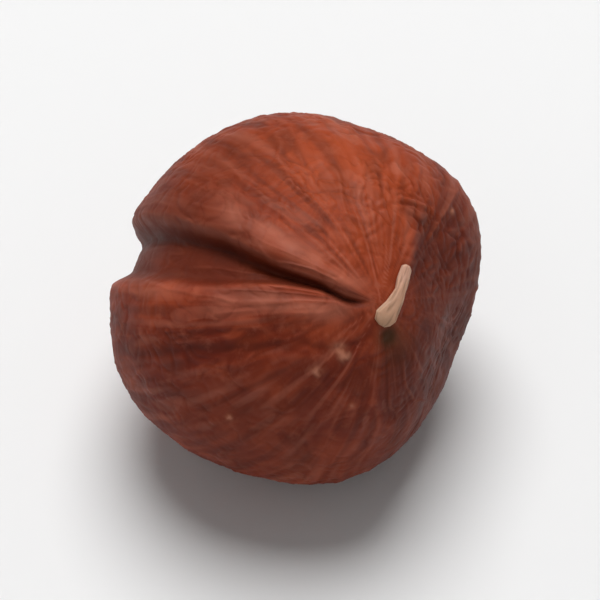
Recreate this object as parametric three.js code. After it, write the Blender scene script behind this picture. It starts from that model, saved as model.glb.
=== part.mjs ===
// A shelled hazelnut kernel in its skin, with the dried shred of its seed stalk, lying on a small flat spot.
// Millimetres, +Z up. The origin is under the middle of the kernel, on the surface it rests on.
import * as THREE from "three";
import { mergeVertices } from "three/addons/utils/BufferGeometryUtils.js";

// --- Driving dimensions ---------------------------------------------------------------------------

const BALL_RADIUS = 7.12; // the kernel's girth, before anything presses on it
const TIP_REACH = 7.0; // from the middle to the pointed end
const BASE_REACH = 6.9; // from the middle to the blunt end
const REST_DROP = 6.22; // from the middle down to the surface it rests on
const FLAT_SHARPNESS = 18; // higher gives the pressed flats a harder edge

const TIP_AXIS = new THREE.Vector3(0.41, -0.58, 0.71).normalize(); // from the middle to the tip, as it lies
const CLEFT_SIDE = new THREE.Vector3(-0.886, -0.063, 0.459); // the side that the cleft runs down

// Where the shell and the neighbouring nut in the husk pressed the kernel flat: reach is from the middle.
const FLATS = [
  { name: "upper face", toward: [-0.09, 0.01, 1.0], reach: 6.7 },
  { name: "right face", toward: [0.9, -0.41, 0.14], reach: 6.75 },
  { name: "face right of the tip", toward: [0.8, -0.16, 0.57], reach: 6.72 },
  { name: "top right", toward: [0.42, 0.66, 0.62], reach: 7.25 },
  { name: "upper left", toward: [-0.78, 0.43, 0.46], reach: 7.25 },
  { name: "front", toward: [-0.15, -0.99, 0.04], reach: 7.1 },
  { name: "lower front", toward: [-0.3, -0.76, -0.57], reach: 7.15 },
  { name: "underside", toward: [0, 0, -1], reach: 6.45 },
  { name: "blunt end", toward: [-0.41, 0.58, -0.71], reach: 6.35 },
  { name: "back", toward: [0.35, 0.75, -0.56], reach: 6.9 },
  { name: "far left", toward: [-0.93, 0.21, -0.3], reach: 7.3 },
];

// Broad swellings and hollows: height in mm, spread in degrees seen from the middle.
const SWELLS = [
  { name: "right shoulder", toward: [0.87, 0.41, 0.26], height: 0.5, spread: 24 },
  { name: "lower right hollow", toward: [0.92, -0.36, -0.16], height: -0.87, spread: 34 },
  { name: "left shoulder", toward: [-0.93, -0.25, -0.26], height: 0.31, spread: 26 },
  { name: "upper left bulge", toward: [-0.8, 0.47, 0.37], height: 0.11, spread: 22 },
  { name: "hollow beside the tip", toward: [0.76, -0.14, 0.63], height: -0.12, spread: 15 },
  { name: "nib at the tip", toward: [0.41, -0.58, 0.71], height: 0.22, spread: 7 },
  { name: "dimple in the blunt end", toward: [-0.41, 0.58, -0.71], height: -0.2, spread: 13 },
];

// The cleft runs from the tip down one side, narrow at first and then a wide valley with a flat floor.
// Angles from the tip are given as [start, end] of a smooth change.
const CLEFT = {
  middle: [-2.5, -2], // degrees round the axis, near the tip and in the valley
  halfWidth: [6, 11.6], // degrees round the axis, near the tip and in the valley
  widens: [26, 56],
  depth: 0.82,
  deepens: [3, 58],
  fades: [108, 150],
  foot: -0.5, // where the steep wall under the upper lip ends, from -1 at that lip to 1 at the other
  brink: 0.45, // where the rise to the lower lip begins
  brinkDepth: 0.84, // as a share of the depth at the foot
};

// Ridges that run from the tip towards the blunt end: around is degrees round the axis, near the tip
// and further down, and from and to are degrees from the tip.
const RIDGES = [
  { name: "upper lip", around: [-16, -22], height: 0.26, spread: 9, from: [3, 12], to: [48, 74] },
  { name: "lower lip", around: [19, 16], height: 0.17, spread: 8, from: [6, 20], to: [60, 100] },
  { name: "right crease", around: [-118, -102], height: 0.2, spread: 9, from: [10, 20], to: [56, 84] },
  { name: "shelf edge", around: [51, 28], height: 0.14, spread: 11, from: [18, 34], to: [74, 105] },
  { name: "back crease", around: [168, 160], height: 0.1, spread: 12, from: [60, 85], to: [120, 145] },
];
const RIDGES_TURN = [18, 62]; // degrees from the tip over which a ridge goes from its first line to its second

const MERIDIANS = 92; // lines of the mesh from tip to blunt end
const RINGS = 44;
const CROWDING = 0.6; // 0 spreads the meridians evenly, and near 1 gathers them at the cleft
const CLEFT_PULL = 75; // degrees round the axis within which the meridians bend to follow the cleft

const STALK_WIDTH = 0.74;
const STALK_THICKNESS = 0.34;
const STALK_CLEARANCE = 0.06; // between the shred and the skin
const STALK_LIFT = 0.16; // how far its loose end stands off
const STALK_NECK = 0.28; // how much narrower the shred is where it leaves the skin and at its neck
const STALK_CORNERS = 6; // in each half of the section
const STALK_STEPS = 14;
// The shred's route over the tip: degrees from the tip, and degrees round the axis.
const STALK_ROUTE = [
  [7.5, 122],
  [4.8, 150],
  [7.5, -140],
  [11.5, -124],
  [15, -118],
];

// --- The kernel's shape -----------------------------------------------------------------------------

const sideAxis = CLEFT_SIDE.clone()
  .addScaledVector(TIP_AXIS, -CLEFT_SIDE.dot(TIP_AXIS))
  .normalize();
const crossAxis = new THREE.Vector3().crossVectors(TIP_AXIS, sideAxis);

const facing = (list) => new THREE.Vector3(...list).normalize();
const flats = FLATS.map((flat) => ({ ...flat, toward: facing(flat.toward) }));
const swells = SWELLS.map((swell) => ({ ...swell, toward: facing(swell.toward) }));

const { degToRad, radToDeg, smoothstep, lerp } = THREE.MathUtils;
const turn = (degrees) => ((((degrees + 180) % 360) + 360) % 360) - 180;
const bell = (offset, spread) => Math.exp(-((offset / spread) ** 2));

// A unit direction from the middle, given degrees from the tip and degrees round the axis.
function directionAt(polar, around) {
  const p = degToRad(polar);
  const a = degToRad(around);
  return TIP_AXIS.clone()
    .multiplyScalar(Math.cos(p))
    .addScaledVector(sideAxis, Math.sin(p) * Math.cos(a))
    .addScaledVector(crossAxis, Math.sin(p) * Math.sin(a));
}

// The egg that every other feature is added to.
function ovalReach(direction) {
  const along = direction.dot(TIP_AXIS);
  const end = along > 0 ? TIP_REACH : BASE_REACH;
  return 1 / Math.sqrt((1 - along ** 2) / BALL_RADIUS ** 2 + (along / end) ** 2);
}

// The egg cut back by every flat, with the edges between them rounded.
function pressedReach(direction) {
  let total = (1 / ovalReach(direction)) ** FLAT_SHARPNESS;
  for (const flat of flats) {
    const share = Math.max(direction.dot(flat.toward), 0) / flat.reach;
    total += share ** FLAT_SHARPNESS;
  }
  return total ** (-1 / FLAT_SHARPNESS);
}

function swellHeight(direction) {
  let height = 0;
  for (const swell of swells) {
    const away = radToDeg(direction.angleTo(swell.toward));
    height += swell.height * bell(away, swell.spread);
  }
  return height;
}

// A value that goes smoothly from the first of a pair to the second, over a range of degrees from the tip.
const eased = (pair, polar, range) => lerp(pair[0], pair[1], smoothstep(polar, ...range));

// How deep the cleft is across its width: a steep wall, a floor that rises slowly, and the lower lip.
function cleftSection(across) {
  if (across < CLEFT.foot) return smoothstep(across, -1, CLEFT.foot);
  if (across > CLEFT.brink) return CLEFT.brinkDepth * (1 - smoothstep(across, CLEFT.brink, 1));
  return lerp(1, CLEFT.brinkDepth, smoothstep(across, CLEFT.foot, CLEFT.brink));
}

function cleftDepth(polar, around) {
  const offset = around - eased(CLEFT.middle, polar, CLEFT.widens);
  const across = offset / eased(CLEFT.halfWidth, polar, CLEFT.widens);
  const reaches = smoothstep(polar, ...CLEFT.deepens) * (1 - smoothstep(polar, ...CLEFT.fades));
  return CLEFT.depth * cleftSection(across) * reaches;
}

function ridgeHeight(polar, around) {
  let height = 0;
  for (const ridge of RIDGES) {
    const reaches = smoothstep(polar, ...ridge.from) * (1 - smoothstep(polar, ...ridge.to));
    const offset = turn(around - eased(ridge.around, polar, RIDGES_TURN));
    height += ridge.height * reaches * bell(offset, ridge.spread);
  }
  return height;
}

// Distance from the middle to the skin in a direction.
function reachOf(direction) {
  const polar = radToDeg(direction.angleTo(TIP_AXIS));
  const around = radToDeg(Math.atan2(direction.dot(crossAxis), direction.dot(sideAxis)));
  return (
    pressedReach(direction) +
    swellHeight(direction) +
    ridgeHeight(polar, around) -
    cleftDepth(polar, around)
  );
}

// Degrees round the axis of one of the ball's meridians. Near the cleft a meridian bends to keep its
// place across the cleft, so the edges of the cleft run along the mesh.
function bentMeridian(even, polar) {
  const crowded = radToDeg(even - CROWDING * Math.sin(even));
  const [, valleyWidth] = CLEFT.halfWidth;
  const narrowing = eased(CLEFT.halfWidth, polar, CLEFT.widens) / valleyWidth;
  const inCleft = crowded * narrowing + eased(CLEFT.middle, polar, CLEFT.widens);
  return lerp(inCleft, crowded, smoothstep(Math.abs(crowded), valleyWidth, CLEFT_PULL));
}

// A ball whose poles are the tip and the blunt end, with each vertex moved out to the skin.
function kernelGeometry() {
  const ball = new THREE.SphereGeometry(1, MERIDIANS, RINGS);
  ball.deleteAttribute("normal");
  ball.deleteAttribute("uv");
  const skin = mergeVertices(ball);
  const at = skin.getAttribute("position");
  for (let i = 0; i < at.count; i++) {
    const polar = radToDeg(Math.acos(THREE.MathUtils.clamp(at.getY(i), -1, 1)));
    const even = Math.atan2(at.getZ(i), -at.getX(i));
    const direction = directionAt(polar, bentMeridian(even, polar));
    const point = direction.multiplyScalar(reachOf(direction));
    // The spot it rests on is truly flat.
    at.setXYZ(i, point.x, point.y, Math.max(point.z + REST_DROP, 0));
  }
  skin.computeVertexNormals();
  return skin;
}

// --- The seed stalk ----------------------------------------------------------------------------------

// The line down the middle of the shred, from where it grows out of the skin to its loose end.
function stalkRoute() {
  const last = STALK_ROUTE.length - 1;
  const points = STALK_ROUTE.map(([polar, around], i) => {
    const direction = directionAt(polar, around);
    const lift = STALK_CLEARANCE + STALK_THICKNESS / 2 + STALK_LIFT * (i / last) ** 2;
    return direction.multiplyScalar(reachOf(direction) + lift);
  });
  return new THREE.CatmullRomCurve3(points);
}

// A flat shred with round edges: a straight strip, with each of its sections laid flat on the skin.
function stalkGeometry() {
  const section = new THREE.Shape();
  section.absellipse(0, 0, STALK_WIDTH / 2, STALK_THICKNESS / 2, 0, Math.PI * 2, false, 0);
  const strip = new THREE.ExtrudeGeometry(section, {
    depth: 1,
    steps: STALK_STEPS,
    curveSegments: STALK_CORNERS,
    bevelEnabled: false,
  });
  const route = stalkRoute();
  const at = strip.getAttribute("position");
  for (let i = 0; i < at.count; i++) {
    const along = THREE.MathUtils.clamp(at.getZ(i), 0, 1);
    const middle = route.getPointAt(along);
    const ahead = route.getTangentAt(along);
    const side = new THREE.Vector3().crossVectors(middle, ahead).normalize();
    const outward = new THREE.Vector3().crossVectors(ahead, side);
    // Two full lobes with a neck between them, and a slimmer root.
    const fullness = 1 - STALK_NECK * Math.cos(2 * Math.PI * along) ** 4;
    middle.addScaledVector(side, at.getX(i) * fullness);
    middle.addScaledVector(outward, at.getY(i));
    at.setXYZ(i, middle.x, middle.y, middle.z + REST_DROP);
  }
  strip.computeVertexNormals();
  return strip;
}

// --- Assembly ------------------------------------------------------------------------------------------

function named(name, geometry, material) {
  const mesh = new THREE.Mesh(geometry, material);
  mesh.name = name;
  return mesh;
}

const skinMaterial = new THREE.MeshStandardMaterial({
  color: 0x8a4530,
  roughness: 0.5,
  metalness: 0,
});
const stalkMaterial = new THREE.MeshStandardMaterial({
  color: 0xd6b28e,
  roughness: 0.75,
  metalness: 0,
});

const kernel = named("kernel", kernelGeometry(), skinMaterial);
const seedStalk = named("seed_stalk", stalkGeometry(), stalkMaterial);

const hazelnut = new THREE.Group();
hazelnut.add(kernel, seedStalk);

// The origin goes under the middle of the whole kernel.
const middle = new THREE.Box3().setFromObject(hazelnut, true).getCenter(new THREE.Vector3());
hazelnut.position.set(-middle.x, -middle.y, 0);

export default hazelnut;
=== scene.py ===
# %% [markdown]
# # A shelled hazelnut kernel
# This lesson dresses one hazelnut kernel. Its size, its place and its rough form come from a packed
# CAD frame, which stays as it is. Blender makes what the eye sees: the skin with its cleft, veins,
# wrinkles, peeled flakes and scar, and the cream shred of seed stalk that is stuck to the tip.
# Each piece is worked out as numbers first, then made as a mesh, then given its finish.

# %% Open the frame
import math

import bmesh
import bpy
import numpy as np
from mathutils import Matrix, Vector, noise
from mathutils.bvhtree import BVHTree


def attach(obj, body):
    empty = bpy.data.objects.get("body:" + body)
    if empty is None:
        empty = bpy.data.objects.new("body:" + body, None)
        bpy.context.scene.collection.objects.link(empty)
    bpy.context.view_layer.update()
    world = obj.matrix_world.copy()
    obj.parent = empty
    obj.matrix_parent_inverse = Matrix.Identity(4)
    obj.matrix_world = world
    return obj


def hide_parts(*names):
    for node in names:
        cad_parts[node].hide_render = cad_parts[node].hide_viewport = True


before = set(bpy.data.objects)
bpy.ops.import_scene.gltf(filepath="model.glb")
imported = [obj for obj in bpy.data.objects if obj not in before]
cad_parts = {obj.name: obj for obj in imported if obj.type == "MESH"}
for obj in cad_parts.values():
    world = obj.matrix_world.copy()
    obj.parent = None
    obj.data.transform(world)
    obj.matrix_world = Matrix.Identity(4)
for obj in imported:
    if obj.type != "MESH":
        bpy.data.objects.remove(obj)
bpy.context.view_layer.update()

# %% [markdown]
# ## The kernel's own compass
# A kernel has a pointed tip, a blunt end and a cleft down one side. Every detail of its skin follows
# that axis. X, Y and Z could place a detail, but the kernel lies tilted, so it is simpler to say where
# a point is as on a globe. `polar` is how many degrees it is from the tip, and `around` is how many
# degrees it is round the axis from the cleft.

# %% Name the middle, the axis and the cleft's side
MM = 0.001
MIDDLE = np.array([0.144, -0.094, 6.22]) * MM  # the point that the kernel's form is measured from


def unit(vector):
    """The same direction with a length of 1."""
    vector = np.asarray(vector, float)
    return vector / np.linalg.norm(vector)


TIP_AXIS = unit([0.41, -0.58, 0.71])
side_hint = np.array([-0.886, -0.063, 0.459])
SIDE_AXIS = unit(side_hint - side_hint.dot(TIP_AXIS) * TIP_AXIS)
CROSS_AXIS = np.cross(TIP_AXIS, SIDE_AXIS)
print("tip axis", TIP_AXIS.round(2), "cleft side", SIDE_AXIS.round(2))

# %% Turn places on the globe into directions, and back
def direction_at(polar, around):
    """The unit direction from the middle to a place on the globe."""
    polar, around = np.radians(polar), np.radians(around)
    ring = np.cos(around) * SIDE_AXIS + np.sin(around) * CROSS_AXIS
    return np.cos(polar) * TIP_AXIS + np.sin(polar) * ring


def compass(directions):
    """Where each of a list of directions is on the globe."""
    polar = np.degrees(np.arccos(np.clip(directions @ TIP_AXIS, -1, 1)))
    around = np.degrees(np.arctan2(directions @ CROSS_AXIS, directions @ SIDE_AXIS))
    return polar, around


print("a quarter of the way round, at the widest:", direction_at(90, 90).round(2))

# %% Small helpers for shaping curves
def smoothstep(value, start, end):
    """0 before the start, 1 after the end, and an even rise between them."""
    t = np.clip((value - start) / (end - start), 0, 1)
    return t * t * (3 - 2 * t)


def bell(offset, spread):
    """1 at no offset, and fading to nothing at about two spreads."""
    return np.exp(-((offset / spread) ** 2))


def turned(degrees):
    """The same angle, between -180 and 180."""
    return (degrees + 180) % 360 - 180


def noise_over(points, seed):
    """One smooth random value, about -1 to 1, for each point of a list of points."""
    shift = Vector((seed * 7.31, seed * 3.17, seed * 5.53))
    return np.fromiter((noise.noise(Vector(p) + shift) for p in points), float, len(points))


print("a bell at 0, 1 and 2 spreads:", bell(np.array([0, 1, 2]), 1).round(2))

# %% [markdown]
# ## A ball of even quads
# A UV sphere crowds its faces at two poles, and an icosphere is all triangles. A cube whose faces are
# cut into a grid and blown up into a ball has nearly even quads everywhere, so fine relief looks the
# same all over. The cube is turned so that its grid lines run along the cleft.

# %% Blow a gridded cube up into a ball
BALL_CELLS = 128  # along each edge of the cube


def quad_ball(cells):
    """Directions of the ball's points, and its faces."""
    shell = bmesh.new()
    bmesh.ops.create_cube(shell, size=2)
    bmesh.ops.subdivide_edges(shell, edges=shell.edges[:], cuts=cells - 1, use_grid_fill=True)
    corners = np.array([v.co for v in shell.verts])
    faces = [[v.index for v in f.verts] for f in shell.faces]
    shell.free()
    even = np.tan(corners * math.pi / 4)
    even /= np.linalg.norm(even, axis=1)[:, None]
    return even @ np.array([TIP_AXIS, SIDE_AXIS, CROSS_AXIS]), faces


directions, ball_faces = quad_ball(BALL_CELLS)
print("ball:", len(directions), "points and", len(ball_faces), "quads")

# %% Bend the grid to follow the cleft
TIP_CROWDING = 0.2  # how strongly the points are drawn towards the tip
CLEFT_CROWDING = 0.35  # and how strongly towards the cleft
CLEFT_MIDDLE = (-2.5, -2)  # degrees round the axis, near the tip and in the valley
CLEFT_HALF_WIDTH = (6, 11.6)
CLEFT_WIDENS = (26, 56)  # degrees from the tip over which the one becomes the other
CLEFT_PULL = 75  # degrees round the axis within which the grid bends to follow the cleft


def eased(pair, polar):
    """From the cleft's value near the tip to its value in the valley."""
    return pair[0] + (pair[1] - pair[0]) * smoothstep(polar, *CLEFT_WIDENS)


def bend_to_cleft(polar, around):
    """Crowds the points at the tip and the cleft, and leads the grid's lines along the cleft."""
    polar = polar - np.degrees(TIP_CROWDING * np.sin(np.radians(polar)))
    crowded = around - np.degrees(CLEFT_CROWDING * np.sin(np.radians(around)))
    narrowing = eased(CLEFT_HALF_WIDTH, polar) / CLEFT_HALF_WIDTH[1]
    in_cleft = crowded * narrowing + eased(CLEFT_MIDDLE, polar)
    share = smoothstep(abs(crowded), CLEFT_HALF_WIDTH[1], CLEFT_PULL)
    return polar, in_cleft + (crowded - in_cleft) * share


polar, around = bend_to_cleft(*compass(directions))
directions = np.array([direction_at(p, a) for p, a in zip(polar, around)])
print("the point nearest the tip is %.2f degrees from it" % polar.min())

# %% Say where each point is across the cleft: -1 at its upper lip, 1 at its lower lip
TIP_SLIT = 0.22 * MM  # half the cleft's width where it starts, so that it never closes up
TIP_DRIFT = 16  # degrees round the axis that the cleft swings by as it reaches the tip
TIP_RADIUS = 7 * MM

slit = np.degrees(TIP_SLIT / (TIP_RADIUS * np.sin(np.radians(np.maximum(polar, 3)))))
half_width = np.maximum(eased(CLEFT_HALF_WIDTH, polar), slit)
middle_line = eased(CLEFT_MIDDLE, polar) + TIP_DRIFT * (1 - smoothstep(polar, 4, 20))
across = (around - middle_line) / half_width
print("points inside the cleft:", int((abs(across) < 1).sum()))

# %% [markdown]
# ## Wrapping the ball onto the CAD kernel
# The skin could be wrapped with a Shrinkwrap modifier or a voxel remesh. Rays are used here because
# they give one number for each point, its reach from the middle, and every wrinkle can then be added
# to that number. The solid is made of flat facets about half a millimetre across, so the wrapped skin
# is relaxed a little until the facets are gone.

# %% Cast the rays
kernel_tree = BVHTree.FromObject(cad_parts["kernel"], bpy.context.evaluated_depsgraph_get())


def reach_to(tree, direction):
    """How far it is from the middle to a surface."""
    _, _, _, distance = tree.ray_cast(Vector(MIDDLE), Vector(direction))
    return distance


wrapped = np.array([reach_to(kernel_tree, d) for d in directions])
print("reach in mm: %.2f to %.2f" % (wrapped.min() / MM, wrapped.max() / MM))

# %% Relax the wrapped skin, but less at the cleft
CLEFT_ROUNDS = 6
RELAX_ROUNDS = 24
CRISP_SPREAD = 2.4  # half widths of the cleft within which the skin stays crisp
CRISP_BEGINS = (2, 14)  # degrees from the tip
CRISP_FADES = (110, 140)


def neighbours_of(faces, count):
    """Both ends of every edge, and how many edges meet at each point."""
    quads = np.array(faces)
    pairs = np.concatenate([quads[:, [i, (i + 1) % 4]] for i in range(4)])
    pairs = np.unique(np.sort(pairs, axis=1), axis=0)
    return pairs, np.bincount(pairs.ravel(), minlength=count)


edge_pairs, edge_counts = neighbours_of(ball_faces, len(directions))


def relaxed(values, rounds):
    """Each point's value, moved halfway to the mean of its neighbours, a number of times."""
    for _ in range(rounds):
        total = np.zeros_like(values)
        np.add.at(total, edge_pairs[:, 0], values[edge_pairs[:, 1]])
        np.add.at(total, edge_pairs[:, 1], values[edge_pairs[:, 0]])
        values = 0.5 * values + 0.5 * total / edge_counts
    return values


crisp_reach = relaxed(wrapped, CLEFT_ROUNDS)
even_reach = relaxed(crisp_reach, RELAX_ROUNDS)
near_cleft = bell(across, CRISP_SPREAD) * smoothstep(polar, *CRISP_BEGINS)
near_cleft *= 1 - smoothstep(polar, *CRISP_FADES)
smooth_reach = even_reach + (crisp_reach - even_reach) * near_cleft
print("relaxing moved the skin by at most %.3f mm" % (abs(smooth_reach - wrapped).max() / MM))

# %% [markdown]
# ## The cleft
# The skin of a kernel is a thin dry paper over a firm seed. It sinks into a sharp fold under the
# cleft's upper lip, and both lips are rubbed pale and carry a painted highlight. A bump map could
# only shade the fold, and its edge would stay smooth, so it is real geometry here, worked out as a
# height at each point.

# %% The cleft's floor, its fold and its lips
CLEFT_BEGINS = (1.5, 10)  # degrees from the tip
CLEFT_FADES = (104, 146)
FLOOR_EDGE = (0.6, 0.95)  # half widths of the cleft
SHADE_EDGE = (-2.1, -0.9)
FLOOR_DEPTH = 0.06 * MM
FOLD_DEPTH = (0.24 * MM, 0.1 * MM)  # near the tip and in the valley, as for the next two
FOLD_AT = (-0.15, -0.62)
FOLD_SPREAD = (0.5, 0.27)

cleft_reaches = smoothstep(polar, *CLEFT_BEGINS) * (1 - smoothstep(polar, *CLEFT_FADES))
above_lower_lip = (1 - smoothstep(across, *FLOOR_EDGE)) * cleft_reaches
valley = (1 - smoothstep(-across, *FLOOR_EDGE)) * above_lower_lip
# Painted shade: a darker brown over the cleft's floor and the wall under the upper lip, partly the
# skin's own colour.
shaded = smoothstep(across, *SHADE_EDGE) * above_lower_lip
fold = bell(across - eased(FOLD_AT, polar), eased(FOLD_SPREAD, polar)) * cleft_reaches
print("the cleft's floor covers %.1f%% of the skin" % (100 * (valley > 0.5).mean()))

# %% Where the lips are rubbed pale and carry a painted highlight, and the shallow furrow below them
# Each line is a list of places: degrees from the tip, and degrees round the axis.
UPPER_LIP = [(6, -30), (14, -20), (30, -20), (47, -20), (62, -24)]
LOWER_LIP = [(10, 27), (15, 23), (23, 16), (31, 12.5), (52, 12.5)]
LOWER_FURROW = [(9, 88), (25, 42), (44, 33), (61, 29), (84, 30)]
UPPER_LIP_SPREAD = 3.6
LOWER_LIP_SPREAD = 3.2
FURROW_SPREAD = 2.0
FURROW_DEPTH = 0.07 * MM


def beside(line, spread):
    """1 along a line, fading to both sides over a spread in degrees of arc."""
    offset = turned(around - np.interp(polar, *zip(*line)))
    arc = offset * np.sin(np.radians(polar))
    ends = smoothstep(polar, line[0][0] - 4, line[0][0] + 5)
    ends *= 1 - smoothstep(polar, line[-1][0] - 12, line[-1][0] + 8)
    return bell(arc, spread) * ends


# The lips' pale band is partly rubbed skin and partly a painted highlight.
rubbed_and_highlight = beside(UPPER_LIP, UPPER_LIP_SPREAD) + beside(LOWER_LIP, LOWER_LIP_SPREAD)
rubbed_and_highlight = np.clip(rubbed_and_highlight, 0, 1) * np.clip(0.75 + 0.8 * noise_over(directions * 9, 21), 0, 1)
lower_furrow = beside(LOWER_FURROW, FURROW_SPREAD)
lower_furrow *= np.clip(0.8 + 0.7 * noise_over(directions * 6, 24), 0, 1)
print("rubbed share: %.1f%%" % (100 * (rubbed_and_highlight > 0.4).mean()))

# %% [markdown]
# ## Veins and flakes
# Veins stand up under the skin and run from end to end, and between them the outer paper has peeled
# off in flakes. They could be sculpted by hand. A noise that is drawn out along the axis is quicker
# and never repeats: a vein is where it crosses zero, and a flake is where it is high.

# %% The veins
VEIN_HEIGHT = 0.05 * MM
FINE_VEIN_HEIGHT = 0.022 * MM
VEIN_PULL = (4.4, 0.75)  # how fast the noise changes round the axis, and along it
FINE_VEIN_PULL = (12.0, 1.5)
STREAK_PULL = (17.0, 1.8)


def along_meridians(around_pull, along_pull):
    """Places for a noise that is drawn out from the tip to the blunt end."""
    ring = np.radians(around)
    return np.stack(
        [
            np.cos(ring) * around_pull,
            np.sin(ring) * around_pull,
            np.radians(polar) * along_pull,
        ],
        axis=1,
    )


def vein_lines(pull, thinness, seed):
    """Thin lines where a drawn-out noise crosses zero."""
    places = along_meridians(*pull) + meander[:, None]
    return smoothstep(1 - np.abs(noise_over(places, seed)) * thinness, 0, 1)


meander = noise_over(directions * 2.4, 11) * 0.55 + noise_over(directions * 7, 12) * 0.12
away_from_ends = smoothstep(polar, 4, 26) * (1 - smoothstep(polar, 150, 172))
outside_cleft = 1 - valley
patchy = np.clip(0.6 + 0.9 * noise_over(directions * 3.1, 2), 0, 1)
veins = vein_lines(VEIN_PULL, 8.0, 1) * patchy * away_from_ends * outside_cleft
fine_veins = vein_lines(FINE_VEIN_PULL, 5.0, 13) * away_from_ends
streaks = noise_over(along_meridians(*STREAK_PULL) + meander[:, None], 14)
print("veins cover %.0f%% of the skin" % (100 * (veins > 0.3).mean()))

# %% Flakes where the outer paper has peeled
FLAKE_DEPTH = 0.014 * MM
FLAKE_PULL = (6.5, 2.4)
FLAKE_EDGE = (0.33, 0.38)  # the noise's height where the paper tears

paper = noise_over(along_meridians(*FLAKE_PULL) + meander[:, None], 22)
flakes = smoothstep(paper, *FLAKE_EDGE) * away_from_ends * outside_cleft
print("flakes cover %.0f%% of the skin" % (100 * flakes.mean()))

# %% [markdown]
# ## Wrinkles
# The seed shrank as it dried, and its skin puckered into pebbles with creases between them. Cloth
# simulation could pucker it, but would be slow at this scale. The borders of a random foam look the
# same, and a few soft patches say where the skin is puckered most.

# %% The pebbled, puckered skin
PEBBLE_HEIGHT = 0.06 * MM
CREASE_DEPTH = 0.035 * MM
FOAM_SCALE = 12  # pebbles over the kernel's radius
FOAM_WARP = 1.3
FOAM_STRETCH = 0.35  # how much longer the pebbles are along the axis
PEBBLE_EDGE = 0.42
PUCKERED_ALL_OVER = 0.2
PUCKERED = [
    # polar, around, spread in degrees, and how strongly the skin puckers there
    (46, -78, 32, 0.85),
    (36, -150, 30, 0.35),
    (66, 40, 36, 0.3),
    (110, 150, 45, 0.55),
    (120, -60, 40, 0.5),
]


def patches(places):
    """Round soft patches added up. A place is polar, around, spread in degrees and strength."""
    total = np.zeros(len(directions))
    for polar_at, around_at, spread, strength in places:
        facing = np.clip(directions @ direction_at(polar_at, around_at), -1, 1)
        total += strength * bell(np.degrees(np.arccos(facing)), spread)
    return total


def cell_borders(points, seed):
    """Zero at the borders between the cells of a random foam, and more towards their middles."""
    shift = Vector((seed * 5.1, seed * 2.3, seed * 7.7))
    nearest = (noise.voronoi(Vector(p) + shift)[0] for p in points)
    return np.fromiter((near[1] - near[0] for near in nearest), float, len(points))


def drawn_out(points, share):
    """Points squeezed along the axis, so that a noise over them is longer that way."""
    return points - np.outer(points @ TIP_AXIS, TIP_AXIS) * share


warp = np.stack([noise_over(directions * 6, seed) for seed in (15, 16, 17)], axis=1)
foam_places = drawn_out(directions * FOAM_SCALE + warp * FOAM_WARP, FOAM_STRETCH)
pebbles = smoothstep(cell_borders(foam_places, 3), 0.0, PEBBLE_EDGE)
creases = smoothstep(1 - np.abs(noise_over(directions * 8 + warp * 1.5, 18)) * 7, 0, 1)
puckered = PUCKERED_ALL_OVER + patches(PUCKERED)
puckered *= np.clip(0.8 + 0.9 * noise_over(directions * 4, 19), 0.15, 1.3) * (1 - 0.8 * valley)
print("puckering runs from %.2f to %.2f" % (puckered.min(), puckered.max()))

# %% Broad dents
DENT_HEIGHT = 0.07 * MM
dents = noise_over(directions * 2.6, 6) + 0.5 * noise_over(directions * 5.2, 7)
print("dents from %.2f to %.2f of their height" % (dents.min(), dents.max()))

# %% [markdown]
# ## The scar, the stains and the tones
# The blunt end has a scar where the seed took its food from the shell: tan, rough and cracked. There
# are specks, a stain at the tip and random dapples. Painted light makes the upper side more orange,
# and painted shade darkens the side past the crease and a few patches. An artist could paint them on
# an image. Here each is a mask, one number for each point, which the material reads by name.

# %% The scar at the blunt end
SCAR_SPREAD = 21  # degrees from the blunt end
SCAR_WOBBLE = 3.5
SCAR_RIM_SPREAD = 3.0

from_blunt = 180 - polar
scar_edge = SCAR_SPREAD + SCAR_WOBBLE * noise_over(along_meridians(1.6, 0), 8)
scar = 1 - smoothstep(from_blunt, scar_edge * 0.82, scar_edge * 1.08)
scar_rim = bell(from_blunt - scar_edge, SCAR_RIM_SPREAD)
scar_rough = noise_over(directions * 22, 9) + 0.6 * noise_over(directions * 45, 10)
scar_cracks = 1 - smoothstep(cell_borders(directions * 20 + warp, 5), 0.0, 0.22)
print("the scar covers %.1f%% of the skin" % (100 * scar.mean()))

# %% Specks, and the stain at the tip
SPECKS = [
    (18, 62, 1.9, 1),
    (18.9, 72, 1.7, 1),
    (27.5, 63, 1.5, 1),
    (61, 58, 1.0, 1),
    (33, 96, 0.9, 1),
    (52, -128, 1.0, 1),
]
TIP_STAIN = [(10.5, 126, 3.6, 1), (16, 138, 6.5, 0.4)]

specks = np.clip(patches(SPECKS) * (0.75 + noise_over(directions * 40, 20)), 0, 1)
tip_stain = np.clip(patches(TIP_STAIN), 0, 1)
print("specks cover %.2f%% of the skin" % (100 * (specks > 0.3).mean()))

# %% Painted light on the upper side, and painted shade on the side past the crease
PAINTED_LIGHT_PATCHES = [(44, -72, 40, 1.15), (66, 22, 16, 0.04)]
PAINTED_SHADE_PATCHES = [(74, -30, 24, 0.42), (62, 76, 34, 0.35), (100, 42, 24, 0.25)]
RIGHT_CREASE = [(16, -126), (24, -117), (33, -109), (43, -117), (60, -121)]
SHADE_PAST_CREASE_STRENGTH = 0.56
SHADE_SIDE_FADES = (92, 150)  # degrees round the axis past the crease

beyond_crease = turned(np.interp(polar, *zip(*RIGHT_CREASE)) - around)
crease_blur = np.interp(polar, (20, 65), (5, 24))
shade_past_crease = smoothstep(beyond_crease / crease_blur, -0.8, 1.2) * smoothstep(polar, 8, 22)
shade_past_crease *= 1 - smoothstep(beyond_crease, *SHADE_SIDE_FADES)
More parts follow.
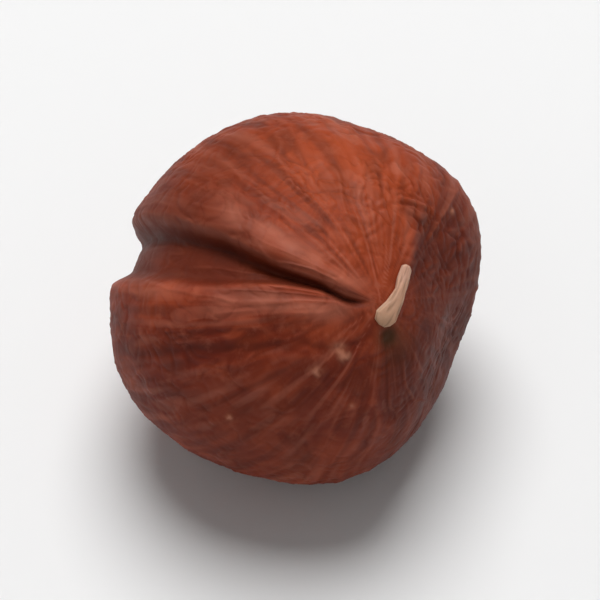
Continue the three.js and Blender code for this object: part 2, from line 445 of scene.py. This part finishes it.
# Painted light: the upper side is made more orange.
painted_light_side = np.clip(patches(PAINTED_LIGHT_PATCHES), 0, 1) * (1 - 0.85 * shade_past_crease)
# Painted shade: the side past the crease and a few patches are made darker.
painted_shade_side = np.clip(SHADE_PAST_CREASE_STRENGTH * shade_past_crease + patches(PAINTED_SHADE_PATCHES), 0, 1)
print("the dark side covers %.0f%% of the skin" % (100 * (painted_shade_side > 0.3).mean()))

# %% Dapples all over
DAPPLE_SCALE = 6.5
DAPPLE_WARP = 0.8
DAPPLE_STRETCH = 0.55

dapple_places = drawn_out(directions * DAPPLE_SCALE + warp * DAPPLE_WARP, DAPPLE_STRETCH)
dapples = noise_over(dapple_places, 23) + 0.5 * noise_over(dapple_places * 2.3, 25)
print("dapples from %.2f to %.2f" % (dapples.min(), dapples.max()))

# %% [markdown]
# ## From numbers to a mesh
# All the heights are added to the reach of each point, and only then does the mesh get made. A stack
# of Displace modifiers would do the same, but it would be harder to read and to change. The mesh
# keeps the masks as attributes, so that colour and relief always agree.

# %% Add it all up
SPECK_HEIGHT = 0.04 * MM
SCAR_RIM_HEIGHT = 0.05 * MM
SCAR_DEPTH = 0.08 * MM
SCAR_ROUGHNESS = 0.035 * MM
SCAR_CRACK_DEPTH = 0.05 * MM

relief = (
    -eased(FOLD_DEPTH, polar) * fold
    - FLOOR_DEPTH * valley
    + SPECK_HEIGHT * specks
    + VEIN_HEIGHT * veins
    + FINE_VEIN_HEIGHT * fine_veins
    - FURROW_DEPTH * lower_furrow
    - FLAKE_DEPTH * flakes
    + PEBBLE_HEIGHT * (pebbles - 0.7) * puckered
    - CREASE_DEPTH * creases * (0.4 + puckered)
    + DENT_HEIGHT * dents
    + SCAR_RIM_HEIGHT * scar_rim
    - SCAR_DEPTH * scar
    + SCAR_ROUGHNESS * scar * scar_rough
    - SCAR_CRACK_DEPTH * scar * scar_cracks
)
reach = smooth_reach + relief
places = MIDDLE + directions * reach[:, None]
print("relief from %.3f to %.3f mm" % (relief.min() / MM, relief.max() / MM))

# %% Keep the skin above the floor, with a soft edge round the flat spot
FLOOR_ROUNDING = 0.05 * MM
low = places[:, 2]
places[:, 2] = 0.5 * (low + np.sqrt(low**2 + FLOOR_ROUNDING**2))
print("the lowest point is %.3f mm up" % (places[:, 2].min() / MM))

# %% Build a mesh that keeps its masks
def new_mesh_object(name, points, faces):
    """A smooth-shaded mesh, in the scene."""
    mesh = bpy.data.meshes.new(name)
    mesh.from_pydata([tuple(p) for p in points], [], faces)
    mesh.validate()
    mesh.polygons.foreach_set("use_smooth", [True] * len(mesh.polygons))
    mesh.update()
    made = bpy.data.objects.new(name, mesh)
    bpy.context.scene.collection.objects.link(made)
    return made


def keep_mask(made, name, values):
    """Stores one number per point, which a material can read by name."""
    layer = made.data.attributes.new(name, "FLOAT", "POINT")
    layer.data.foreach_set("value", np.asarray(values, np.float32))


skin = new_mesh_object("kernel_skin", places, ball_faces)
print("skin mesh:", len(skin.data.vertices), "points")

# %% Keep the skin's masks, and say what the skin stands for
HOLLOW_ROUNDS = 40
HOLLOW_DEPTH = 0.12 * MM

hollow = np.clip((relaxed(reach, HOLLOW_ROUNDS) - reach) / HOLLOW_DEPTH, -1, 1)
skin_masks = {
    # Painted shade: the skin is darker in its hollows and along the lower furrow, and paler on its
    # crests.
    "hollow_shade": np.clip(hollow + 0.35 * lower_furrow, 0, 1),
    "crest": np.clip(-hollow, 0, 1),
    "shaded": shaded,
    "rubbed_and_highlight": rubbed_and_highlight,
    "flakes": flakes,
    "streaks": streaks * 0.5 + 0.5,
    "painted_light_side": painted_light_side,
    "painted_shade_side": painted_shade_side,
    "dapples": np.clip(0.5 + dapples, 0, 1),
    "tip_stain": tip_stain,
    "specks": specks,
    "scar": scar,
    "scar_rim": scar_rim,
    "scar_cracks": scar * scar_cracks,
}
for name, values in skin_masks.items():
    keep_mask(skin, name, values)
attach(skin, "root")
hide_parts("kernel")
print("masks on the skin:", len(skin_masks))

# %% [markdown]
# ## Shared effects as node groups
# The skin and the dried stalk are both plant tissue, and they share two effects: a mottled tone, and
# a fine dry grain. The nodes could be copied into each material. A node group with named sockets is
# built once instead, and each material places it with its own values.

# %% Helpers that add a node and start a group
def add_node(tree, kind, **settings):
    """A new node. A setting that starts with in_ is the value of an input."""
    node = tree.nodes.new(kind)
    for name, value in settings.items():
        if name.startswith("in_"):
            node.inputs[name[3:].replace("_", " ")].default_value = value
        else:
            setattr(node, name, value)
    return node


def new_group(name, inputs, outputs):
    """A node group with its sockets, and the nodes that hold what goes in and what comes out."""
    group = bpy.data.node_groups.new(name, "ShaderNodeTree")
    for label, kind, value in inputs:
        socket = group.interface.new_socket(label, in_out="INPUT", socket_type=kind)
        if value is not None:
            socket.default_value = value
    for label, kind in outputs:
        group.interface.new_socket(label, in_out="OUTPUT", socket_type=kind)
    return group, group.nodes.new("NodeGroupInput"), group.nodes.new("NodeGroupOutput")


# %% The mottled tone
FINE_TO_BROAD = 4.7  # how many times finer the freckles are than the broad patches


def mottle_group():
    """Two noises, one broad and one fine."""
    group, given, result = new_group(
        "Mottled Tone",
        [("Vector", "NodeSocketVector", None), ("Scale", "NodeSocketFloat", 300.0)],
        [("Broad", "NodeSocketFloat"), ("Fine", "NodeSocketFloat")],
    )
    link = group.links.new
    broad = add_node(group, "ShaderNodeTexNoise", in_Detail=4.0, in_Roughness=0.6)
    fine_scale = add_node(group, "ShaderNodeMath", operation="MULTIPLY")
    fine_scale.inputs[1].default_value = FINE_TO_BROAD
    fine = add_node(group, "ShaderNodeTexNoise", in_Detail=5.0, in_Roughness=0.65)
    link(given.outputs["Vector"], broad.inputs["Vector"])
    link(given.outputs["Scale"], broad.inputs["Scale"])
    link(given.outputs["Scale"], fine_scale.inputs[0])
    link(given.outputs["Vector"], fine.inputs["Vector"])
    link(fine_scale.outputs[0], fine.inputs["Scale"])
    link(broad.outputs["Fac"], result.inputs["Broad"])
    link(fine.outputs["Fac"], result.inputs["Fine"])
    return group


mottled_tone = mottle_group()
print(mottled_tone.name, "has", len(mottled_tone.nodes), "nodes")

# %% The dry grain
def grain_group():
    """A noise drawn out along the kernel's axis, like fibres in dry paper."""
    group, given, result = new_group(
        "Dry Grain",
        [
            ("Vector", "NodeSocketVector", None),
            ("Scale", "NodeSocketFloat", 3000.0),
            ("Stretch", "NodeSocketFloat", 6.0),
        ],
        [("Height", "NodeSocketFloat")],
    )
    link = group.links.new
    squeeze = add_node(group, "ShaderNodeCombineXYZ")
    thin = add_node(group, "ShaderNodeMath", operation="DIVIDE")
    thin.inputs[0].default_value = 1.0
    squeeze.inputs["X"].default_value = 1.0
    squeeze.inputs["Y"].default_value = 1.0
    stretched = add_node(group, "ShaderNodeVectorMath", operation="MULTIPLY")
    fibres = add_node(group, "ShaderNodeTexNoise", in_Detail=3.0, in_Roughness=0.6)
    link(given.outputs["Stretch"], thin.inputs[1])
    link(thin.outputs[0], squeeze.inputs["Z"])
    link(given.outputs["Vector"], stretched.inputs[0])
    link(squeeze.outputs[0], stretched.inputs[1])
    link(stretched.outputs[0], fibres.inputs["Vector"])
    link(given.outputs["Scale"], fibres.inputs["Scale"])
    link(fibres.outputs["Fac"], result.inputs["Height"])
    return group


dry_grain = grain_group()
print("node groups:", [g.name for g in bpy.data.node_groups])

# %% [markdown]
# ## The skin's finish
# Ripe skin is red-brown, with orange in random patches. Painted light makes the upper side more
# orange and puts a highlight on the rubbed lips, and painted shade darkens the hollows, the lower
# furrow, the cleft and the side past the crease. Streaks run with the veins. It could be one noise
# with a colour ramp, but then the colour would ignore the relief. Here thin washes are laid one over
# another, as a painter glazes, each through its own mask. The gloss is a dull satin that breaks up on
# the grain.

# %% Colours of the skin
def srgb(red, green, blue):
    """A colour given as 0 to 255 per channel, as a shader wants it."""
    channels = [c / 255 for c in (red, green, blue)]
    return [c / 12.92 if c < 0.04045 else ((c + 0.055) / 1.055) ** 2.4 for c in channels] + [1.0]


SKIN_DEEP = srgb(58, 17, 9)
SKIN_RED = srgb(108, 34, 16)
SKIN_ORANGE = srgb(156, 64, 29)
SKIN_LIT = srgb(172, 78, 46)
SKIN_UMBER = srgb(76, 32, 14)
SKIN_RUBBED = srgb(178, 104, 82)
VALLEY_SHADE_BROWN = srgb(88, 32, 15)
SCAR_TAN = srgb(172, 112, 76)
SCAR_BROWN = srgb(74, 38, 22)
TIP_OLIVE = srgb(56, 38, 14)
SPECK_PALE = srgb(196, 134, 106)
print("the skin's red as the shader sees it:", [round(c, 3) for c in SKIN_RED[:3]])

# %% Coordinates that follow the kernel's axis
# Object coordinates are used, because a wrapped skin has no seams to hide and needs no UV map.
def nut_coordinates(tree):
    """Object coordinates with the middle at zero and Z along the kernel's axis."""
    coordinates = add_node(tree, "ShaderNodeTexCoord")
    moved = add_node(tree, "ShaderNodeVectorMath", operation="SUBTRACT")
    moved.inputs[1].default_value = MIDDLE
    tree.links.new(coordinates.outputs["Object"], moved.inputs[0])
    turned_axes = add_node(tree, "ShaderNodeCombineXYZ")
    for label, axis in (("X", SIDE_AXIS), ("Y", CROSS_AXIS), ("Z", TIP_AXIS)):
        along = add_node(tree, "ShaderNodeVectorMath", operation="DOT_PRODUCT")
        along.inputs[1].default_value = axis
        tree.links.new(moved.outputs[0], along.inputs[0])
        tree.links.new(along.outputs["Value"], turned_axes.inputs[label])
    return turned_axes.outputs[0]


# %% Helpers that read masks and mix colours
def use_group(tree, group, vector, **values):
    """Places a node group in a material with its own values."""
    node = add_node(tree, "ShaderNodeGroup", node_tree=group)
    for label, value in values.items():
        node.inputs[label].default_value = value
    tree.links.new(vector, node.inputs["Vector"])
    return node


def read_mask(tree, name):
    """The mask that the mesh keeps under this name."""
    return add_node(tree, "ShaderNodeAttribute", attribute_name=name).outputs["Fac"]


def mixed(tree, factor, first, second):
    """A colour mix; each end is a socket or a fixed colour."""
    node = add_node(tree, "ShaderNodeMix", data_type="RGBA")
    factor_in, first_in, second_in = node.inputs[0], node.inputs[6], node.inputs[7]
    tree.links.new(factor, factor_in)
    for socket, value in ((first_in, first), (second_in, second)):
        if isinstance(value, bpy.types.NodeSocket):
            tree.links.new(value, socket)
        else:
            socket.default_value = value
    return node.outputs[2]


def washed(tree, colour, washes):
    """Lays one colour after another over the first. A wash is a mask, a strength and a colour."""
    for mask, strength, tint in washes:
        colour = mixed(tree, scaled(tree, mask, strength), colour, tint)
    return colour


def rescaled(tree, value, low, high, new_low=0.0, new_high=1.0):
    """The range from low to high, stretched to a new range and cut off outside it."""
    node = add_node(tree, "ShaderNodeMapRange", in_From_Min=low, in_From_Max=high)
    node.inputs["To Min"].default_value = new_low
    node.inputs["To Max"].default_value = new_high
    tree.links.new(value, node.inputs["Value"])
    return node.outputs["Result"]


def scaled(tree, value, by):
    """A value times a fixed number."""
    node = add_node(tree, "ShaderNodeMath", operation="MULTIPLY")
    tree.links.new(value, node.inputs[0])
    node.inputs[1].default_value = by
    return node.outputs[0]


def summed(tree, first, second):
    """Two values added up."""
    node = add_node(tree, "ShaderNodeMath", operation="ADD")
    tree.links.new(first, node.inputs[0])
    tree.links.new(second, node.inputs[1])
    return node.outputs[0]


# %% Helpers that start a material and add its finest grain
def new_material(name):
    """A material, its nodes, and the shader that holds the finish."""
    material = bpy.data.materials.new(name)
    material.use_nodes = True
    tree = material.node_tree
    return material, tree, tree.nodes["Principled BSDF"]


def add_fine_bump(tree, surface, heights, strength, distance):
    """Grain too fine for the mesh."""
    bump = add_node(tree, "ShaderNodeBump", in_Strength=strength, in_Distance=distance)
    tree.links.new(heights, bump.inputs["Height"])
    tree.links.new(bump.outputs["Normal"], surface.inputs["Normal"])


# %% The skin's washes
def skin_colour(tree, mottle):
    """A base of red and orange, then the tones and marks, and last the scar and the specks."""

    def mask(name, *span):
        value = read_mask(tree, name)
        return rescaled(tree, value, *span) if span else value

    tone = rescaled(tree, mottle.outputs["Broad"], 0.36, 0.64)
    # Painted light: the upper side is mixed more orange.
    tone = summed(tree, scaled(tree, tone, 0.5), scaled(tree, mask("painted_light_side"), 0.6))
    base = mixed(tree, tone, SKIN_RED, SKIN_ORANGE)
    freckles = rescaled(tree, mottle.outputs["Fine"], 0.55, 0.75)
    scar_tone = mixed(tree, mottle.outputs["Fine"], SCAR_BROWN, SCAR_TAN)
    washes = [
        # a mask, its strength and its colour; two numbers say where a mask begins and is full
        (mask("dapples", 0.6, 0.95), 0.25, SKIN_LIT),
        (mask("dapples", 0.4, 0.05), 0.26, SKIN_UMBER),
        (mask("streaks", 0.5, 0.75), 0.35, SKIN_DEEP),
        (mask("streaks", 0.42, 0.22), 0.3, SKIN_RUBBED),
        (freckles, 0.3, SKIN_RUBBED),
        (mask("flakes"), 0.22, SKIN_RUBBED),
        # Painted shade on the side past the crease and on a few patches.
        (mask("painted_shade_side"), 1.0, SKIN_DEEP),
        # Painted shade in the cleft, partly the skin's own darker brown.
        (mask("shaded"), 0.75, VALLEY_SHADE_BROWN),
        # Rubbed pale lips, with a painted highlight.
        (mask("rubbed_and_highlight"), 0.6, SKIN_RUBBED),
        (mask("crest"), 0.4, SKIN_RUBBED),
        # Painted shade in the hollows and the lower furrow.
        (mask("hollow_shade"), 0.58, SKIN_DEEP),
        (mask("scar"), 0.85, scar_tone),
        (mask("scar_cracks"), 0.7, SCAR_BROWN),
        (mask("scar_rim"), 0.35, SKIN_DEEP),
        (mask("tip_stain"), 0.85, TIP_OLIVE),
        (mask("specks"), 0.6, SPECK_PALE),
    ]
    return washed(tree, base, washes)


# %% Put the skin's material together
def skin_material():
    """Satin, red-brown and dry."""
    material, tree, surface = new_material("nut_skin")
    where = nut_coordinates(tree)
    mottle = use_group(tree, mottled_tone, where, Scale=260.0)
    grain = use_group(tree, dry_grain, where, Scale=5200.0, Stretch=5.0)
    ribbing = use_group(tree, dry_grain, where, Scale=1500.0, Stretch=9.0)

    tree.links.new(skin_colour(tree, mottle), surface.inputs["Base Color"])
    rough = rescaled(tree, mottle.outputs["Fine"], 0.3, 0.7, new_low=0.48, new_high=0.7)
    tree.links.new(rough, surface.inputs["Roughness"])
    surface.inputs["Specular IOR Level"].default_value = 0.13
    surface.inputs["Subsurface Weight"].default_value = 0.08
    surface.inputs["Subsurface Radius"].default_value = (1.0, 0.35, 0.15)
    surface.inputs["Subsurface Scale"].default_value = 0.0006

    heights = summed(tree, scaled(tree, grain.outputs["Height"], 0.4), ribbing.outputs["Height"])
    add_fine_bump(tree, surface, heights, strength=0.35, distance=0.06 * MM)
    return material


skin.data.materials.append(skin_material())
print("nodes in the skin's material:", len(skin.data.materials[0].node_tree.nodes))

# %% [markdown]
# ## The shred of seed stalk
# A seed hangs in its shell from a short stalk. When the kernel is shelled, a shred of that stalk often
# stays on the tip: flat, cream, dry and fibrous. A bevelled curve would be quicker, but both its edges
# would be the same. A loft of ovals along the route lets each edge be ragged in its own way.

# %% Follow the shred's route over the tip
SHRED_ROUTE = [(6.6, 112), (4.0, 146), (7.0, -143), (11.5, -125), (15.5, -119)]
SHRED_PROFILE = [
    # how far along, and the half widths to its left and its right, as shares
    (0, 0.35, 0.2),
    (0.07, 0.9, 0.6),
    (0.2, 1.15, 0.85),
    (0.36, 0.72, 0.7),
    (0.55, 0.45, 0.48),
    (0.8, 0.52, 0.55),
    (0.94, 0.5, 0.42),
    (1, 0.2, 0.15),
]
SHRED_WIDTH = 0.92 * MM
SHRED_THICKNESS = 0.24 * MM
SHRED_LIFT = 0.16 * MM  # how far its loose end stands off the skin
SHRED_STEPS = 60
SHRED_SIDES = 28
skin_tree = BVHTree.FromPolygons([tuple(p) for p in places], ball_faces)


def smooth_curve(a, b, c, d, u):
    """The Catmull-Rom curve from b to c, with u from 0 to 1, on its way from a to d."""
    curve = 2 * b + (c - a) * u
    curve += (2 * a - 5 * b + 4 * c - d) * u**2
    curve += (3 * b - a - 3 * c + d) * u**3
    return curve / 2


def shred_line(steps):
    """Points on the skin along the route, as a smooth curve."""
    knots = []
    for polar_at, around_at in SHRED_ROUTE:
        direction = direction_at(polar_at, around_at)
        knots.append(MIDDLE + direction * reach_to(skin_tree, direction))
    knots = np.array([2 * knots[0] - knots[1], *knots, 2 * knots[-1] - knots[-2]])
    line = []
    for step in range(steps + 1):
        t = step / steps * (len(knots) - 3)
        i = min(int(t), len(knots) - 4)
        line.append(smooth_curve(*knots[i : i + 4], t - i))
    return np.array(line)


line = shred_line(SHRED_STEPS)
print("shred length %.2f mm" % (np.linalg.norm(np.diff(line, axis=0), axis=1).sum() / MM))

# %% Loft the shred
def shred_section(t, left, right):
    """One oval of the loft: how far each point is to the side, how far up, and its ripple."""
    closing = math.sqrt(max(1 - abs(2 * t - 1) ** 9, 0.004))
    for s in range(SHRED_SIDES):
        turn = 2 * math.pi * s / SHRED_SIDES
        place = Vector((math.cos(turn) * 4, math.sin(turn) * 4, t * 3))
        ragged = 1 + 0.25 * noise.noise(place * 1.5)
        ripple = 0.5 + 0.5 * math.cos(9 * math.cos(turn) + 6 * noise.noise(place * 0.7))
        share = left if math.cos(turn) > 0 else right
        aside = math.cos(turn) * SHRED_WIDTH / 2 * ragged * share
        up = math.sin(turn) * SHRED_THICKNESS / 2 * closing * (0.75 + 0.4 * ripple)
        yield aside, up, ripple


def ring_faces(rings, sides, first=0):
    """Quads between rings of points, each ring after the one before."""
    faces = []
    for k in range(rings - 1):
        for s in range(sides):
            a = first + k * sides + s
            b = first + k * sides + (s + 1) % sides
            faces.append([a, b, b + sides, a + sides])
    return faces


def loft_shred():
    """Ovals along the line, joined into a closed mesh that keeps its ripples as a mask."""
    points, ripples = [], []
    stations, lefts, rights = zip(*SHRED_PROFILE)
    ahead = np.gradient(line, axis=0)
    for k, (middle, forward) in enumerate(zip(line, ahead)):
        t = k / SHRED_STEPS
        forward = unit(forward)
        side = unit(np.cross(unit(middle - MIDDLE), forward))
        outward = np.cross(forward, side)
        left, right = (np.interp(t, stations, shares) for shares in (lefts, rights))
        lift = 0.35 * SHRED_THICKNESS + SHRED_LIFT * t**3
        for aside, up, ripple in shred_section(t, left, right):
            points.append(middle + side * aside + outward * (up + lift))
            ripples.append(ripple)
    faces = ring_faces(SHRED_STEPS + 1, SHRED_SIDES)
    faces.append(list(range(SHRED_SIDES))[::-1])
    last = SHRED_STEPS * SHRED_SIDES
    faces.append([last + s for s in range(SHRED_SIDES)])
    made = new_mesh_object("stalk_shred", points, faces)
    keep_mask(made, "ripple", ripples)
    keep_mask(made, "along", np.repeat(np.linspace(0, 1, SHRED_STEPS + 1), SHRED_SIDES))
    return made


shred = loft_shred()
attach(shred, "root")
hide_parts("seed_stalk")
print("shred mesh:", len(shred.data.vertices), "points")

# %% Finish the shred
STALK_KHAKI = srgb(180, 142, 114)
STALK_PINK = srgb(208, 160, 140)
STALK_TAN = srgb(172, 124, 88)
STALK_GROOVE = srgb(112, 78, 46)


def stalk_material():
    """Cream, dull and fibrous, and pinker towards its loose end."""
    material, tree, surface = new_material("dried_stalk")
    where = nut_coordinates(tree)
    mottle = use_group(tree, mottled_tone, where, Scale=900.0)
    grain = use_group(tree, dry_grain, where, Scale=9000.0, Stretch=4.0)

    base = mixed(tree, read_mask(tree, "along"), STALK_KHAKI, STALK_PINK)
    washes = [
        (rescaled(tree, mottle.outputs["Broad"], 0.35, 0.65), 0.5, STALK_TAN),
        (rescaled(tree, read_mask(tree, "ripple"), 0.35, 0.0), 0.5, STALK_GROOVE),
    ]
    tree.links.new(washed(tree, base, washes), surface.inputs["Base Color"])
    rough = rescaled(tree, mottle.outputs["Fine"], 0.3, 0.7, new_low=0.6, new_high=0.85)
    tree.links.new(rough, surface.inputs["Roughness"])
    surface.inputs["Subsurface Weight"].default_value = 0.2
    surface.inputs["Subsurface Radius"].default_value = (1.0, 0.7, 0.45)
    surface.inputs["Subsurface Scale"].default_value = 0.0003
    add_fine_bump(tree, surface, grain.outputs["Height"], strength=0.5, distance=0.04 * MM)
    return material


shred.data.materials.append(stalk_material())
print("nodes in the stalk's material:", len(shred.data.materials[0].node_tree.nodes))

# %% [markdown]
# ## The studio
# Small food is usually lit by one large soft lamp above and behind, and a weak fill in front. A plane
# with a wall would show a hard horizon, so the pale floor turns up into the wall in a curve, far away.
# The foot of the wall glows a little, like a cloth lit from behind, so a low camera sees it pale too.

# %% Floor
FLOOR_RADIUS = 0.6
FLOOR_RINGS = 9
TURN_UP = 0.4
TURN_UP_RINGS = 16
FLOOR_SEGMENTS = 96


def floor_profile():
    """How far out and how high each ring of the floor is."""
    profile = [(FLOOR_RADIUS * k / FLOOR_RINGS, 0.0) for k in range(1, FLOOR_RINGS + 1)]
    for k in range(1, TURN_UP_RINGS + 1):
        a = k / TURN_UP_RINGS * math.pi / 2
        profile.append((FLOOR_RADIUS + TURN_UP * math.sin(a), TURN_UP * (1 - math.cos(a))))
    profile.append((FLOOR_RADIUS + TURN_UP, TURN_UP * 3))
    return profile


def sweep_floor():
    """A round floor that rises at its rim, so that no horizon line shows."""
    profile = floor_profile()
    points = [(0.0, 0.0, 0.0)]
    for out, height in profile:
        for s in range(FLOOR_SEGMENTS):
            a = 2 * math.pi * s / FLOOR_SEGMENTS
            points.append((out * math.cos(a), out * math.sin(a), height))
    faces = [[0, 1 + s, 1 + (s + 1) % FLOOR_SEGMENTS] for s in range(FLOOR_SEGMENTS)]
    for face in ring_faces(len(profile), FLOOR_SEGMENTS, first=1):
        faces.append(face[::-1])
    return new_mesh_object("studio_floor", points, faces)


floor = sweep_floor()
print("floor: %.1f m across" % (2 * (FLOOR_RADIUS + TURN_UP)))

# %% Finish the floor
GLOW_BEGINS = (0.2, 0.6)  # metres from the middle
GLOW_ENDS = (0.05, 0.12)  # metres up the wall
GLOW_STRENGTH = 0.5


def floor_material():
    material, tree, surface = new_material("pale_floor")
    surface.inputs["Base Color"].default_value = (0.8, 0.8, 0.8, 1)
    surface.inputs["Roughness"].default_value = 0.9
    surface.inputs["Specular IOR Level"].default_value = 0.1
    surface.inputs["Emission Color"].default_value = (1, 1, 1, 1)
    glow = scaled(tree, read_mask(tree, "glow"), GLOW_STRENGTH)
    tree.links.new(glow, surface.inputs["Emission Strength"])
    return material


spots = np.array([v.co for v in floor.data.vertices])
far_out = smoothstep(np.hypot(spots[:, 0], spots[:, 1]), *GLOW_BEGINS)
keep_mask(floor, "glow", far_out * (1 - smoothstep(spots[:, 2], *GLOW_ENDS)))
floor.data.materials.append(floor_material())
print("the floor glows at %.0f%% of its points" % (100 * (far_out > 0).mean()))

# %% Lamps
def soft_lamp(name, azimuth, elevation, distance, size, power):
    """A round soft lamp aimed at the kernel: angles in degrees, lengths in metres, power in watts."""
    data = bpy.data.lights.new(name, "AREA")
    data.shape = "DISK"
    data.size = size
    data.energy = power
    lamp = bpy.data.objects.new(name, data)
    bpy.context.scene.collection.objects.link(lamp)
    a, e = math.radians(azimuth), math.radians(elevation)
    away = Vector((math.sin(a) * math.cos(e), -math.cos(a) * math.cos(e), math.sin(e)))
    lamp.location = Vector(MIDDLE) + away * distance
    lamp.rotation_euler = away.to_track_quat("Z", "Y").to_euler()
    print(name, "at", [round(c, 2) for c in lamp.location])


soft_lamp("key_lamp", azimuth=182, elevation=71, distance=0.45, size=0.32, power=2.15)
soft_lamp("fill_lamp", azimuth=-40, elevation=45, distance=0.5, size=0.4, power=0.08)

# %% The light from all round
world = bpy.data.worlds.new("studio_world")
world.use_nodes = True
background = world.node_tree.nodes["Background"]
background.inputs["Color"].default_value = (1, 1, 1, 1)
background.inputs["Strength"].default_value = 0.17
bpy.context.scene.world = world
print("world light:", round(background.inputs["Strength"].default_value, 2))

# %% [markdown]
# ## The camera
# A long lens from a hand's length away keeps the kernel's proportions true, where a wide lens would
# swell its front. It looks down steeply, so that the tip and the cleft both show.

# %% Camera
CAMERA_ELEVATION = 52
CAMERA_DISTANCE = 0.149
SHOWN_SHARE = 0.62  # of the view's width, filled by the kernel
SENSOR_WIDTH = 36
KERNEL_WIDTH = 14.1 * MM

camera_data = bpy.data.cameras.new("camera")
camera_data.sensor_width = SENSOR_WIDTH
camera_data.lens = SENSOR_WIDTH * SHOWN_SHARE * CAMERA_DISTANCE / KERNEL_WIDTH
camera_data.clip_start = 0.002
camera = bpy.data.objects.new("camera", camera_data)
bpy.context.scene.collection.objects.link(camera)
tilt = math.radians(CAMERA_ELEVATION)
back = Vector((0, -math.cos(tilt), math.sin(tilt)))
camera.location = Vector(MIDDLE) + back * CAMERA_DISTANCE
camera.rotation_euler = back.to_track_quat("Z", "Y").to_euler()
bpy.context.scene.camera = camera
bpy.context.scene.view_settings.view_transform = "Standard"
print("lens %.0f mm" % camera_data.lens)
